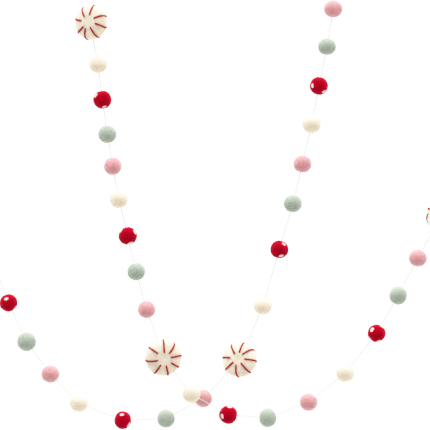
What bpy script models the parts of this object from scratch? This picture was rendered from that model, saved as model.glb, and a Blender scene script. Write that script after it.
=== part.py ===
"""A felt ball garland: felted wool balls and stitched peppermint sweets threaded on white string, in two crossing swags.

Metres, +Z up, front towards -Y. The origin is on the level line through the tops of the two upper hanging loops,
about midway between them.
"""

import math
import random
from collections import namedtuple

import bmesh
import bpy
from mathutils import Quaternion, Vector

MM = 0.001

# The string and the holes that it runs through
STRING_ACROSS = 1.2 * MM
STRING_BEVEL_RESOLUTION = 2
BORE_CLEAR_RADIUS = 0.95 * MM
MOUTH_DIMPLE = 0.985
MOUTH_LEAD = 1.2 * MM
STRAIGHT = 1e-6

# Small felt balls
BALL_SEGMENTS = 12
BALL_RINGS = 9
BALL_LUMP = 0.008
BALL_LUMP_COUNT = 3

# Peppermint sweets: a flattened ball, a little dimpled in the middle of each face
SWEET_THICK = 20 * MM
SWEET_ROUNDNESS = 2.3
SWEET_DIMPLE_DEPTH = 1.0 * MM
SWEET_DIMPLE_RADIUS = 5.5 * MM
SWEET_SEGMENTS = 18
SWEET_RINGS = 10

# The knot that closes each hanging loop, around two strands side by side
STRAND_OFFSET = 0.75 * MM
KNOT_HALF_HEIGHT = 3.0 * MM
KNOT_HALF_WIDTH = 2.7 * MM
KNOT_HALF_DEPTH = 2.1 * MM
KNOT_SHOULDER = 0.9
KNOT_END_SIZE = 0.82
KNOT_SEGMENTS = 12
KNOT_RINGS = 4
KNOT_STRAND_LEAD = 0.8 * MM

# The hanging loop above its knot, and the tail below it, as steps out and down from the knot's middle
LOOP_TOP = 19.9 * MM
LOOP_SWELL = 3.6 * MM
LOOP_STEPS = 7
TAIL_START_DOWN = 3.4 * MM
TAIL_BEND = (1.7 * MM, 4.5 * MM)
TAIL_TIP = (3.7 * MM, 5.0 * MM)

# Shading turns sharp past these angles
BEAD_SMOOTH = math.radians(60)
KNOT_SMOOTH = math.radians(50)

# The order of felts that repeats along each swag, and where in it each swag starts
FELT_ORDER = ("peppermint", "cream", "red", "mint", "pink", "cream", "red", "mint", "pink")
FIRST_FELT = {"front": 0, "back": 2}

FELT_COLOURS = {
    "peppermint": (0.83, 0.77, 0.63),
    "cream": (0.88, 0.83, 0.70),
    "red": (0.56, 0.004, 0.022),
    "mint": (0.50, 0.63, 0.52),
    "pink": (0.82, 0.44, 0.50),
}
FELT_ROUGHNESS = 0.95
STRING_COLOUR = (0.90, 0.90, 0.88)
STRING_ROUGHNESS = 0.85

# Each bead's middle, in millimetres right of, below and in front of the origin, and its width and height
Bead = namedtuple("Bead", "right below forward wide tall")

FRONT_SWAG = (
    Bead(-157.0, 56.5, 0.0, 45.5, 45.5),
    Bead(-148.0, 111.0, 0.5, 22.4, 21.8),
    Bead(-142.5, 157.0, 0.0, 23.0, 23.0),
    Bead(-136.0, 202.0, 0.0, 23.0, 21.8),
    Bead(-129.0, 243.5, 0.0, 22.0, 22.3),
    Bead(-121.0, 286.5, 0.0, 22.4, 22.0),
    Bead(-109.5, 334.0, 0.0, 23.2, 22.4),
    Bead(-98.5, 380.5, 0.5, 22.4, 22.0),
    Bead(-85.0, 429.5, 2.0, 22.4, 21.6),
    Bead(-63.0, 492.0, 6.0, 45.5, 45.5),
    Bead(-26.5, 538.5, 14.0, 22.4, 22.4),
    Bead(21.0, 566.5, -2.0, 22.8, 23.2),
    Bead(72.5, 570.5, -1.0, 22.0, 23.6),
    Bead(125.5, 550.0, 0.0, 22.6, 21.8),
    Bead(173.0, 512.5, 0.0, 22.6, 22.2),
    Bead(214.0, 460.5, 0.0, 22.6, 22.3),
    Bead(242.0, 411.5, 0.0, 22.0, 23.0),
    Bead(267.5, 363.0, 0.0, 22.6, 21.2),
    Bead(296.8, 303.5, 0.0, 45.5, 45.5),
)

BACK_SWAG = (
    Bead(-264.5, 421.0, 0.0, 22.4, 22.2),
    Bead(-241.0, 471.5, 0.0, 23.8, 23.8),
    Bead(-210.0, 513.5, 0.0, 22.6, 21.8),
    Bead(-173.0, 551.5, 0.0, 22.6, 22.4),
    Bead(-116.0, 573.5, 0.0, 21.6, 22.3),
    Bead(-60.0, 571.5, -1.0, 22.4, 22.6),
    Bead(-11.5, 545.5, -3.0, 22.4, 22.2),
    Bead(36.0, 495.0, -1.0, 45.5, 45.5),
    Bead(66.0, 425.0, 0.0, 23.0, 22.0),
    Bead(87.5, 351.5, 0.0, 23.0, 22.6),
    Bead(105.0, 292.0, 0.0, 23.0, 21.8),
    Bead(117.5, 240.5, 0.0, 23.0, 21.6),
    Bead(129.5, 189.0, 0.0, 23.4, 21.8),
    Bead(139.0, 139.0, 0.0, 23.0, 22.6),
    Bead(149.5, 88.0, 0.0, 22.6, 20.6),
    Bead(157.5, 39.0, 0.0, 23.4, 21.2),
)

SWAGS = {"front": FRONT_SWAG, "back": BACK_SWAG}

# Where each sweet's front face points, by swag and place along it
Facing = namedtuple("Facing", "right up forward")

SWEET_FACES = {
    ("front", 1): Facing(-0.42, 0.04, 0.90),
    ("front", 10): Facing(0.17, -0.09, 0.98),
    ("front", 19): Facing(-0.81, 0.30, 0.50),
    ("back", 8): Facing(-0.28, 0.22, 0.93),
}

# Each end's knot: its middle as in the tables above, the way its loop pulls, and the side of its tail
KnotPlace = namedtuple("KnotPlace", "right below forward pull_right pull_up tail_side")

KNOTS = {
    ("front", "start"): KnotPlace(-164.5, 20.5, 0.0, -0.10, 0.995, -1),
    ("front", "end"): KnotPlace(309.0, 266.5, 0.0, 0.40, 0.917, 1),
    ("back", "start"): KnotPlace(-281.0, 377.5, 0.0, -0.354, 0.935, -1),
    ("back", "end"): KnotPlace(160.5, 20.5, 0.0, 0.15, 0.989, 1),
}


def place(row):
    """A table row's middle in metres."""
    return Vector((row.right * MM, -row.forward * MM, -row.below * MM))


def felt_of(swag, number):
    """The felt of a bead, counted from 1 along its swag."""
    return FELT_ORDER[(FIRST_FELT[swag] + number - 1) % len(FELT_ORDER)]


def is_sweet(swag, number):
    return felt_of(swag, number) == "peppermint"


def node_name(swag, number):
    kind = "peppermint" if is_sweet(swag, number) else f"{felt_of(swag, number)}_ball"
    return f"{swag}_{number:02d}_{kind}"


def plain_material(name, colour, roughness):
    material = bpy.data.materials.new(name)
    material.use_nodes = True
    shader = material.node_tree.nodes["Principled BSDF"]
    shader.inputs["Base Color"].default_value = (*colour, 1.0)
    shader.inputs["Roughness"].default_value = roughness
    shader.inputs["Metallic"].default_value = 0.0
    return material


def side_axes(axis):
    """Two unit vectors square to an axis, the first in the plane of the swags."""
    across = axis.cross(Vector((0, 1, 0))).normalized()
    return across, axis.cross(across).normalized()


def half_sizes(row):
    return Vector((row.wide, (row.wide + row.tall) / 2, row.tall)) * MM / 2


def stretched(v, sizes):
    return Vector((v.x * sizes.x, v.y * sizes.y, v.z * sizes.z))


def ball_surface(row, seed):
    """A small ball's felt in each direction from its middle: slightly squashed and lumpy."""
    sizes = half_sizes(row)
    dice = random.Random(seed)
    lumps = []
    for number in range(BALL_LUMP_COUNT):
        way = Vector([dice.uniform(-1, 1) for axis in range(3)]).normalized()
        lumps.append((way, 2.0 + number, dice.uniform(0, math.tau)))

    def surface(v):
        swell = 1 + BALL_LUMP * sum(math.sin(turns * v.dot(way) + phase) for way, turns, phase in lumps)
        return stretched(v, sizes) * swell

    return surface


def sweet_surface(row, face):
    """A peppermint's felt: a disc with a fat round rim, dimpled in the middle of both faces."""
    sizes = half_sizes(row)

    def surface(v):
        along = v.dot(face)
        flat = v - face * along
        power = (flat.length**SWEET_ROUNDNESS + abs(along) ** SWEET_ROUNDNESS) ** (-1 / SWEET_ROUNDNESS)
        out = stretched(flat, sizes) * power
        thick = abs(along) * power * SWEET_THICK / 2
        thick -= min(thick, SWEET_DIMPLE_DEPTH * math.exp(-((out.length / SWEET_DIMPLE_RADIUS) ** 2)))
        return out + face * math.copysign(thick, along)

    return surface


def sweet_face(swag, number):
    facing = SWEET_FACES[swag, number]
    return Vector((facing.right, -facing.forward, facing.up)).normalized()


def bead_surface(swag, number, row):
    if is_sweet(swag, number):
        return sweet_surface(row, sweet_face(swag, number))
    return ball_surface(row, node_name(swag, number))


def loft(name, rings, material, smooth_angle):
    """One closed body through a list of rings that runs up the outside and back down the hole."""
    body = bmesh.new()
    loops = [[body.verts.new(point) for point in ring] for ring in rings]
    count = len(loops[0])
    for here, there in zip(loops, loops[1:] + loops[:1]):
        for n in range(count):
            m = (n + 1) % count
            body.faces.new((here[n], here[m], there[m], there[n]))
    bmesh.ops.recalc_face_normals(body, faces=body.faces)
    mesh = bpy.data.meshes.new(name)
    body.to_mesh(mesh)
    body.free()
    mesh.shade_smooth()
    mesh.set_sharp_from_angle(angle=smooth_angle)
    mesh.materials.append(material)
    piece = bpy.data.objects.new(name, mesh)
    bpy.context.scene.collection.objects.link(piece)
    return piece


def circle(middle, across, back, radius, segments):
    turns = [math.tau * n / segments for n in range(segments)]
    return [middle + across * (radius * math.cos(t)) + back * (radius * math.sin(t)) for t in turns]


def mouth_distance(surface, way):
    """How far from a bead's middle its hole opens."""
    return surface(way).dot(way) * MOUTH_DIMPLE


def bead(name, middle, arrive, leave, surface, segments, rings, material):
    """A felt bead with a hole that turns at its middle, from the way the string arrives to the way it leaves."""
    axis = (arrive + leave).normalized()
    across, back = side_axes(axis)
    hinge = arrive.cross(leave)
    half_bend = arrive.angle(leave) / 2 if hinge.length > STRAIGHT else 0.0
    bore = BORE_CLEAR_RADIUS / math.cos(math.pi / segments)

    def mouth(way, bend):
        turn = Quaternion(hinge, bend)
        return circle(middle + way * mouth_distance(surface, way), turn @ across, turn @ back, bore, segments)

    sections = [mouth(leave, half_bend)]
    for number in range(1, rings):
        tilt = math.pi * number / rings
        lean = Quaternion(hinge, half_bend * math.cos(tilt))
        ring = []
        for n in range(segments):
            turn = math.tau * n / segments
            out = across * math.cos(turn) + back * math.sin(turn)
            ring.append(middle + surface(lean @ (axis * math.cos(tilt) + out * math.sin(tilt))))
        sections.append(ring)
    arriving = Quaternion(hinge, -half_bend)
    entry = middle - arrive * mouth_distance(surface, -arrive)
    sections.append(circle(entry, arriving @ across, arriving @ back, bore, segments))
    sections.append(circle(middle, across, back, bore / math.cos(half_bend), segments))
    return loft(name, sections, material, BEAD_SMOOTH)


def stadium(middle, across, back, radius, offset, segments):
    """A round-ended slot's outline, for two strands side by side."""
    points = []
    for n in range(segments):
        turn = math.tau * (n + 0.5) / segments
        shift = math.copysign(offset, math.cos(turn))
        points.append(middle + across * (radius * math.cos(turn) + shift) + back * (radius * math.sin(turn)))
    return points


def knot_frame(row):
    """A knot's middle, the way its loop pulls, and two ways square to that."""
    pull = Vector((row.pull_right, 0, row.pull_up)).normalized()
    return place(row), pull, *side_axes(pull)


def knot(name, row, material):
    """A small barrel-shaped knot around the two strands of a hanging loop."""
    middle, pull, across, back = knot_frame(row)
    slot = BORE_CLEAR_RADIUS / math.cos(math.pi / KNOT_SEGMENTS)
    top = middle + pull * KNOT_HALF_HEIGHT
    bottom = middle - pull * KNOT_HALF_HEIGHT
    sections = [stadium(top, across, back, slot, STRAND_OFFSET, KNOT_SEGMENTS)]
    for number in range(KNOT_RINGS + 1):
        level = 1 - 2 * number / KNOT_RINGS
        size = KNOT_END_SIZE + (1 - KNOT_END_SIZE) * math.cos(level * math.pi / 2)
        ring = []
        for n in range(KNOT_SEGMENTS):
            turn = math.tau * (n + 0.5) / KNOT_SEGMENTS
            wide = across * (KNOT_HALF_WIDTH * size * math.cos(turn))
            deep = back * (KNOT_HALF_DEPTH * size * math.sin(turn))
            ring.append(middle + pull * (KNOT_HALF_HEIGHT * KNOT_SHOULDER * level) + wide + deep)
        sections.append(ring)
    sections.append(stadium(bottom, across, back, slot, STRAND_OFFSET, KNOT_SEGMENTS))
    return loft(name, sections, material, KNOT_SMOOTH)


def loop_route(row):
    """From a swag's end up through its knot, round the hanging loop, down through the knot and out to the tail."""
    middle, pull, across, back = knot_frame(row)
    side = across if (across.x > 0) == (row.tail_side > 0) else -across
    clear = KNOT_HALF_HEIGHT + KNOT_STRAND_LEAD
    points = [middle - side * STRAND_OFFSET - pull * clear]
    for n in range(LOOP_STEPS + 1):
        turn = math.pi * n / LOOP_STEPS
        sideways = -STRAND_OFFSET * math.cos(turn) - LOOP_SWELL * math.sin(2 * turn)
        points.append(middle + side * sideways + pull * (clear + (LOOP_TOP - clear) * math.sin(turn)))
    points.append(middle + side * STRAND_OFFSET - pull * TAIL_START_DOWN)
    for out, down in (TAIL_BEND, TAIL_TIP):
        points.append(middle + side * out - pull * down)
    return points


def in_plane(way, face):
    return (way - face * way.dot(face)).normalized()


def turning_points(swag, rows):
    """Where the string turns in each bead: at a ball's middle, and before, at and after a sweet's.

    Through a sweet the string keeps to the sweet's own plane, so it bends just outside each of its mouths too.
    """
    ends = [loop_route(KNOTS[swag, end])[0] for end in ("start", "end")]
    middles = [ends[0], *[place(row) for row in rows], ends[1]]
    turns = []
    for number, row in enumerate(rows, 1):
        here = middles[number]
        if not is_sweet(swag, number):
            turns.append([here])
            continue
        face = sweet_face(swag, number)
        surface = bead_surface(swag, number, row)
        arrive = in_plane(here - middles[number - 1], face)
        leave = in_plane(middles[number + 1] - here, face)
        before = here - arrive * (mouth_distance(surface, -arrive) + MOUTH_LEAD)
        after = here + leave * (mouth_distance(surface, leave) + MOUTH_LEAD)
        turns.append([before, here, after])
    return turns


def string_route(swag, rows):
    """Every point of a swag's string, from the tail of one end knot to the tail of the other."""
    points = list(reversed(loop_route(KNOTS[swag, "start"])))
    for turns in turning_points(swag, rows):
        points.extend(turns)
    return points + loop_route(KNOTS[swag, "end"])


def string(name, points, material):
    curve = bpy.data.curves.new(name, "CURVE")
    curve.dimensions = "3D"
    curve.bevel_depth = STRING_ACROSS / 2
    curve.bevel_resolution = STRING_BEVEL_RESOLUTION
    curve.use_fill_caps = True
    curve.materials.append(material)
    spline = curve.splines.new("POLY")
    spline.points.add(len(points) - 1)
    for spot, point in zip(spline.points, points):
        spot.co = (*point, 1.0)
    piece = bpy.data.objects.new(name, curve)
    bpy.context.scene.collection.objects.link(piece)
    return piece


def swag_pieces(swag, rows, felts, string_finish):
    route = string_route(swag, rows)
    for number, row in enumerate(rows, 1):
        middle = place(row)
        along = route.index(middle)
        sweet = is_sweet(swag, number)
        bead(
            node_name(swag, number),
            middle,
            (middle - route[along - 1]).normalized(),
            (route[along + 1] - middle).normalized(),
            bead_surface(swag, number, row),
            SWEET_SEGMENTS if sweet else BALL_SEGMENTS,
            SWEET_RINGS if sweet else BALL_RINGS,
            felts[felt_of(swag, number)],
        )
    string(f"{swag}_string", route, string_finish)
    for end in ("start", "end"):
        knot(f"{swag}_{end}_knot", KNOTS[swag, end], string_finish)


def main():
    for old in list(bpy.data.objects):
        bpy.data.objects.remove(old)
    felts = {}
    for felt, colour in FELT_COLOURS.items():
        felts[felt] = plain_material(f"{felt}_felt", colour, FELT_ROUGHNESS)
    string_finish = plain_material("white_string", STRING_COLOUR, STRING_ROUGHNESS)
    for swag, rows in SWAGS.items():
        swag_pieces(swag, rows, felts, string_finish)


main()
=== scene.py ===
"""Felt ball garland: wool felt balls and stitched peppermint sweets on white string, in two crossing swags.

Metres, +Z up, front towards -Y. Each ball, sweet, string and knot is dressed over the solid of the same name.
"""

import math
from collections import namedtuple

import bpy
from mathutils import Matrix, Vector


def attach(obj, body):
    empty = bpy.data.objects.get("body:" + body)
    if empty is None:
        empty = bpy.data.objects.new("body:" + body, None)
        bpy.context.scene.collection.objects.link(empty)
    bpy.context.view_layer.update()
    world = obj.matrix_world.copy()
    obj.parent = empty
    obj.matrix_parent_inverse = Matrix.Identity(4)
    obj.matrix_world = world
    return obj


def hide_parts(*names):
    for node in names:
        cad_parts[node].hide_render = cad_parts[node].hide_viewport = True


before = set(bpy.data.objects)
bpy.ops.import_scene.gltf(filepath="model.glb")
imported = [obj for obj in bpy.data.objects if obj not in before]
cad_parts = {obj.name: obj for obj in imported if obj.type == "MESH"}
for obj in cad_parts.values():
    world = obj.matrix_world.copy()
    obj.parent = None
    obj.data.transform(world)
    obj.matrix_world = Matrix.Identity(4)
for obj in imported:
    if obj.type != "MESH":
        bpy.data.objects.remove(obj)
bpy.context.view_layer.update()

MM = 0.001

# The camera looks straight at the garland from far away, as the photograph's does
VIEW_MIDDLE_RIGHT = 3.9 * MM
VIEW_MIDDLE_UP = -306.8 * MM
VIEW_ACROSS = 559 * MM
CAMERA_AWAY = 3.2
SENSOR_ACROSS = 36.0

# The studio: a tent that is white at the sides, dim in front and straight behind, and brightest overhead
TENT_FRONT = 0.13
TENT_BACK = 1.0
TENT_BEHIND = 0.9
TENT_TURN = (-0.6, 0.37)
BEHIND_TURN = (0.2, 0.8)
TENT_BELOW = 1.15
OVERHEAD_GLOW = 5.0
OVERHEAD_WAY = (0.0, 0.12, 0.993)
OVERHEAD_RISE = (0.43, 0.85)
HORIZON_TURN = (-0.1, 0.1)
BACKDROP_WHITE = 1.7

# The floor far below the garland; a painted pool of light, palest under it and just behind it, lights it from
# below
FLOOR_LEVEL = -1.3
FLOOR_RADIUS = 4.5
FLOOR_SIDES = 96
FLOOR_GREY = 0.21
FLOOR_PALE = 0.62
FLOOR_PALE_FROM = (-0.74, 0.23)
FLOOR_PALE_TO = (0.7, 2.6)

# How the film rolls off towards white: light in, tone out
FILM_WHITE = 1.7
FILM_CURVE = ((0.0, 0.0), (0.41, 0.7), (0.588, 0.87), (0.765, 0.955), (1.0, 1.0))

# The string and the holes that it runs through
STRING_ACROSS = 1.2 * MM
MOUTH_DIMPLE = 0.985
MOUTH_LEAD = 1.2 * MM
CORNER_ROUND = 4.0 * MM
CORNER_STEPS = 4

# Felt balls
BALL_GRID = 27
BALL_LUMP = 0.03
BALL_RIPPLE = 0.028
BALL_PLUMP = 0.4 * MM
MOUTH_PIT = 0.9 * MM
MOUTH_PIT_ACROSS = 2.0 * MM
DOT_REACH = 3.0 * MM
DOT_STRETCH = 1.0 * MM
DOT_SINK = 0.45 * MM
DOT_EDGE = 0.35 * MM
DOT_RAGGED = 0.65 * MM
DOT_SLOPE = (DOT_REACH - 0.6 * MM, DOT_REACH + 0.3 * MM)
BALL_GRAIN = (5.3, 70.0)
BACK_SEEDS_FROM = 100

# Peppermint sweets
SWEET_THICK = 20 * MM
SWEET_ROUNDNESS = 2.3
SWEET_DIMPLE_DEPTH = 1.0 * MM
SWEET_DIMPLE_RADIUS = 5.5 * MM
SWEET_GRID = 62
SWEET_LUMP = 0.3 * MM
CREASE_DEPTH = 0.35 * MM
CREASE_COUNT = 14.0
CREASE_ALONG = 70.0
CREASE_SHARPNESS = 3.5
CREASE_START = (2.5 * MM, 8 * MM)
# How far the creases are darkened: painted shade in them
CREASE_PAINTED_SHADE = 0.3
# The middle's tan with painted shade in its dimple: its reach, and the tint it shares with the painted crease
# shade
TAN_AND_SHADE_MIDDLE = 7.5 * MM
TAN_AND_PAINTED_SHADE = (0.83, 0.78, 0.71)
SWEET_GRAIN = (3.7, 50.0)
STITCH_ACROSS = 2.7 * MM
STITCH_GROOVE = 0.08 * MM
STITCH_RIM_TUCK = 0.6 * MM
STITCH_GROOVE_ACROSS = 1.3 * MM
STITCH_LIFT = 0.28 * MM
STITCH_DIVE = 2.6 * MM
STITCH_POINTS = 28
STITCH_CORNER = 0.7 * MM
STITCH_SEARCH = 400

# Matted wool: features to the metre, how far hairs and wisps stray, and how narrow they are for their length
HAIR_DRIFT_SCALE = 330.0
HAIR_DRIFT = 4.5 * MM
HAIR_SCALE = 1300.0
HAIR_NARROW = 0.14
HAIR_TURNS = ((0.3, 0.5, 0.2), (1.4, -0.4, 0.9), (-0.7, 1.1, 2.0))
PATCH_SCALE = 240.0
WISP_SWIRL_SCALE = 70.0
WISP_SWIRL = 22 * MM
WISP_SCALE = 620.0
WISP_NARROW = 0.22
FELT_RELIEF = 0.7 * MM

# The light shade, the dark shade and the sheen of each wool and strand; the dots share the red wool's sheen
SWEET_WOOL = ((1.0, 0.89, 0.7), (0.98, 0.84, 0.64), (1.0, 0.96, 0.88))
CREAM_WOOL = ((0.925, 0.775, 0.572), (0.895, 0.74, 0.53), (1.0, 0.96, 0.88))
RED_WOOL = ((0.46, 0.0008, 0.015), (0.26, 0.0002, 0.006), (1.0, 0.06, 0.11))
DOT_WOOL = ((0.98, 0.84, 0.76), (0.88, 0.68, 0.59))
MINT_WOOL = ((0.42, 0.495, 0.395), (0.285, 0.35, 0.265), (0.9, 1.0, 0.9))
PINK_WOOL = ((0.82, 0.36, 0.375), (0.62, 0.20, 0.22), (1.0, 0.9, 0.91))
# On the yarn and the string, the dark shade is painted shade in the valleys between plies
RED_YARN = ((0.50, 0.018, 0.022), (0.20, 0.004, 0.006), (1.0, 0.3, 0.3))
WHITE_COTTON = ((0.92, 0.92, 0.89), (0.56, 0.56, 0.53), (1.0, 1.0, 1.0))

# How far light spreads inside pale felt, and the share of it for red, green and blue
FELT_SCATTER = 5.0 * MM
FELT_SCATTER_SHARES = (1.0, 0.85, 0.65)

# Spun strands: fine hairs to the metre along them and around them, their relief, and the depth between plies
SPUN_ALONG = 260.0
SPUN_AROUND = 3.0
SPUN_RELIEF = 0.2 * MM
PLY_CREST = 0.34
PLY_VALLEY = 0.66

# Loose wool and cotton fibres, and the bend of each for a length of 1
FIBRE_START = (0, 0, -0.06)
FIBRE_BEND = (0.55, 0.16, 0.3)
FIBRE_END = (1.0, -0.12, 0.02)
FIBRE_TURN = 0.6
FIBRE_LIFT = -1.15
FIBRE_LYING = 2.2
SWEET_FIBRE_SHARE = 0.8
WOOL_FIBRE = 3.0 * MM
WOOL_FIBRE_ACROSS = 0.05 * MM
WOOL_FIBRES = 420000.0
COTTON_FIBRE = 1.5 * MM
COTTON_FIBRE_ACROSS = 0.03 * MM
COTTON_FIBRES = 220000.0
YARN_FIBRE = 1.6 * MM
YARN_FIBRES = 300000.0

# The knot that closes each hanging loop, around two strands side by side
STRAND_OFFSET = 0.75 * MM
KNOT_HALF_HEIGHT = 3.0 * MM
LOOP_TOP = 19.9 * MM
LOOP_SWELL = 3.6 * MM
LOOP_STEPS = 7
TAIL_START_DOWN = 3.4 * MM
TAIL_BEND = (1.7 * MM, 4.5 * MM)
TAIL_TIP = (3.7 * MM, 5.0 * MM)
KNOT_STRAND_LEAD = 0.8 * MM
KNOT_WRAPS = 3.4
KNOT_WRAP_RISE = 1.28 * MM
KNOT_WRAP_WIDE = 1.9 * MM
KNOT_WRAP_DEEP = 1.25 * MM
KNOT_WRAP_TURN_POINTS = 14
KNOT_END_TUCK = 0.35
KNOT_END_POINTS = 5
KNOT_SEED = 7

# How the string and the yarn of the stars are plied
STRAND_PROFILE = 12
STRING_MAKE = {
    "across": STRING_ACROSS,
    "plies": 3.0,
    "twist_length": 4.2 * MM,
    "step": 0.42 * MM,
    "fibres": COTTON_FIBRES,
    "fibre_length": COTTON_FIBRE,
    "fibre_across": COTTON_FIBRE_ACROSS,
}
YARN_MAKE = {
    "across": STITCH_ACROSS,
    "plies": 2.0,
    "twist_length": 6.5 * MM,
    "step": 0.6 * MM,
    "fibres": YARN_FIBRES,
    "fibre_length": YARN_FIBRE,
    "fibre_across": COTTON_FIBRE_ACROSS,
}

# The order of felts that repeats along each swag, and where in it each swag starts
FELT_ORDER = ("peppermint", "cream", "red", "mint", "pink", "cream", "red", "mint", "pink")
FIRST_FELT = {"front": 0, "back": 2}

# Each bead's middle, in millimetres right of, below and in front of the origin, and its width and height
Bead = namedtuple("Bead", "right below forward wide tall")

FRONT_SWAG = (
    Bead(-157.0, 56.5, 0.0, 45.5, 45.5),
    Bead(-148.0, 111.0, 0.5, 22.4, 21.8),
    Bead(-142.5, 157.0, 0.0, 23.0, 23.0),
    Bead(-136.0, 202.0, 0.0, 23.0, 21.8),
    Bead(-129.0, 243.5, 0.0, 22.0, 22.3),
    Bead(-121.0, 286.5, 0.0, 22.4, 22.0),
    Bead(-109.5, 334.0, 0.0, 23.2, 22.4),
    Bead(-98.5, 380.5, 0.5, 22.4, 22.0),
    Bead(-85.0, 429.5, 2.0, 22.4, 21.6),
    Bead(-63.0, 492.0, 6.0, 45.5, 45.5),
    Bead(-26.5, 538.5, 14.0, 22.4, 22.4),
    Bead(21.0, 566.5, -2.0, 22.8, 23.2),
    Bead(72.5, 570.5, -1.0, 22.0, 23.6),
    Bead(125.5, 550.0, 0.0, 22.6, 21.8),
    Bead(173.0, 512.5, 0.0, 22.6, 22.2),
    Bead(214.0, 460.5, 0.0, 22.6, 22.3),
    Bead(242.0, 411.5, 0.0, 22.0, 23.0),
    Bead(267.5, 363.0, 0.0, 22.6, 21.2),
    Bead(296.8, 303.5, 0.0, 45.5, 45.5),
)

BACK_SWAG = (
    Bead(-264.5, 421.0, 0.0, 22.4, 22.2),
    Bead(-241.0, 471.5, 0.0, 23.8, 23.8),
    Bead(-210.0, 513.5, 0.0, 22.6, 21.8),
    Bead(-173.0, 551.5, 0.0, 22.6, 22.4),
    Bead(-116.0, 573.5, 0.0, 21.6, 22.3),
    Bead(-60.0, 571.5, -1.0, 22.4, 22.6),
    Bead(-11.5, 545.5, -3.0, 22.4, 22.2),
    Bead(36.0, 495.0, -1.0, 45.5, 45.5),
    Bead(66.0, 425.0, 0.0, 23.0, 22.0),
    Bead(87.5, 351.5, 0.0, 23.0, 22.6),
    Bead(105.0, 292.0, 0.0, 23.0, 21.8),
    Bead(117.5, 240.5, 0.0, 23.0, 21.6),
    Bead(129.5, 189.0, 0.0, 23.4, 21.8),
    Bead(139.0, 139.0, 0.0, 23.0, 22.6),
    Bead(149.5, 88.0, 0.0, 22.6, 20.6),
    Bead(157.5, 39.0, 0.0, 23.4, 21.2),
)

SWAGS = {"front": FRONT_SWAG, "back": BACK_SWAG}

# Where a sweet's front face points, how many millimetres it stands out from its solid, and its middle's tan
# with painted shade in its dimple
Facing = namedtuple("Facing", "right up forward plump tan")

SWEET_FACES = {
    ("front", 1): Facing(-0.42, 0.04, 0.90, -0.1, 0.3),
    ("front", 10): Facing(0.17, -0.09, 0.98, 0.9, 0.15),
    ("front", 19): Facing(-0.81, 0.30, 0.50, 0.4, 0.25),
    ("back", 8): Facing(-0.28, 0.22, 0.93, 0.1, 0.9),
}

# Each stitch of a sweet's star: its angle near the middle and at the rim, and how far out it starts, in mm
Stitch = namedtuple("Stitch", "inner_turn rim_turn start")

STARS = {
    ("front", 1): (
        Stitch(128, 118, 9.2),
        Stitch(76, 79, 9.5),
        Stitch(26, 19, 10.2),
        Stitch(-15, -20, 11.2),
        Stitch(-63, -61, 8.9),
        Stitch(-111, -101, 10.2),
        Stitch(-138, -145, 9.8),
        Stitch(172, 165, 10.5),
    ),
    ("front", 10): (
        Stitch(94, 91, 8.6),
        Stitch(49, 54, 9.8),
        Stitch(11, 7, 9.0),
        Stitch(-32, -31, 11.0),
        Stitch(-76, -75, 10.0),
        Stitch(-121, -121, 10.2),
        Stitch(-166, -173, 9.8),
        Stitch(142, 145, 11.6),
    ),
    ("back", 8): (
        Stitch(125, 120, 8.2),
        Stitch(78, 77, 8.9),
        Stitch(42, 34, 8.8),
        Stitch(-3, -4, 9.7),
        Stitch(-51, -47, 8.2),
        Stitch(-100, -89, 9.3),
        Stitch(-139, -142, 8.3),
        Stitch(175, 175, 11.0),
    ),
    ("front", 19): (
        Stitch(172, 168, 9.0),
        Stitch(131, 128, 9.4),
        Stitch(88, 90, 9.8),
        Stitch(43, 40, 9.0),
        Stitch(-2, 2, 10.4),
        Stitch(-47, -50, 9.2),
        Stitch(-97, -94, 9.8),
        Stitch(-160, -130, 14.0),
    ),
}

# The white dots felted into each red ball: the way to each from the ball's middle, and half its width in
# millimetres; the dots on the hidden side are spread evenly
Way = namedtuple("Way", "right up forward half", defaults=(2.1,))

DOTS = {
    ("front", 3): (
        Way(-0.72, 0.48, 0.5, 2.5),
        Way(0.25, -0.82, 0.51, 2.2),
        Way(0.75, 0.55, -0.35),
        Way(-0.7, -0.55, -0.45),
        Way(0.0, 0.55, -0.85),
    ),
    ("front", 7): (
        Way(0.8, 0.45, 0.4, 2.4),
        Way(0.3, -0.86, 0.41, 2.9),
        Way(-0.74, 0.6, 0.28, 2.5),
        Way(0.1, 0.3, -0.95),
        Way(-0.6, -0.6, -0.5),
    ),
    ("front", 12): (
        Way(-0.69, -0.12, 0.71, 2.4),
        Way(0.17, 0.9, 0.4, 2.6),
        Way(0.75, -0.6, -0.3),
        Way(-0.55, 0.35, -0.75),
        Way(-0.1, -0.75, -0.6),
    ),
    ("front", 16): (
        Way(-0.57, 0.45, 0.69, 2.4),
        Way(0.22, -0.9, 0.38, 2.6),
        Way(0.6, 0.76, 0.23, 2.5),
        Way(-0.76, -0.62, 0.2, 2.4),
        Way(0.2, 0.1, -1.0),
    ),
    ("back", 14): (
        Way(-0.78, 0.0, 0.62, 2.3),
        Way(0.53, -0.69, 0.5, 2.2),
        Way(0.35, 0.85, -0.35),
        Way(-0.4, -0.5, -0.75),
        Way(0.65, 0.1, -0.75),
    ),
    ("back", 10): (
        Way(0.5, 0.63, 0.6, 2.1),
        Way(0.18, -0.75, 0.63, 2.3),
        Way(-0.9, 0.1, -0.25),
        Way(0.4, 0.2, -0.9),
        Way(-0.3, -0.75, -0.6),
    ),
    ("back", 5): (
        Way(-0.08, 0.7, 0.71, 2.0),
        Way(0.76, -0.5, 0.42, 2.8),
        Way(-0.8, -0.5, -0.2),
        Way(0.1, 0.5, -0.85),
        Way(-0.2, -0.8, -0.5),
    ),
    ("back", 1): (
        Way(-0.18, 0.5, 0.85, 2.0),
        Way(0.74, -0.62, 0.25, 2.6),
        Way(-0.68, 0.73, -0.05),
        Way(0.3, 0.45, -0.85),
        Way(-0.3, -0.7, -0.6),
    ),
}

# Each end's knot: its middle as in the tables above, the way its loop pulls, and the side of its tail
KnotPlace = namedtuple("KnotPlace", "right below forward pull_right pull_up tail_side")

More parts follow.
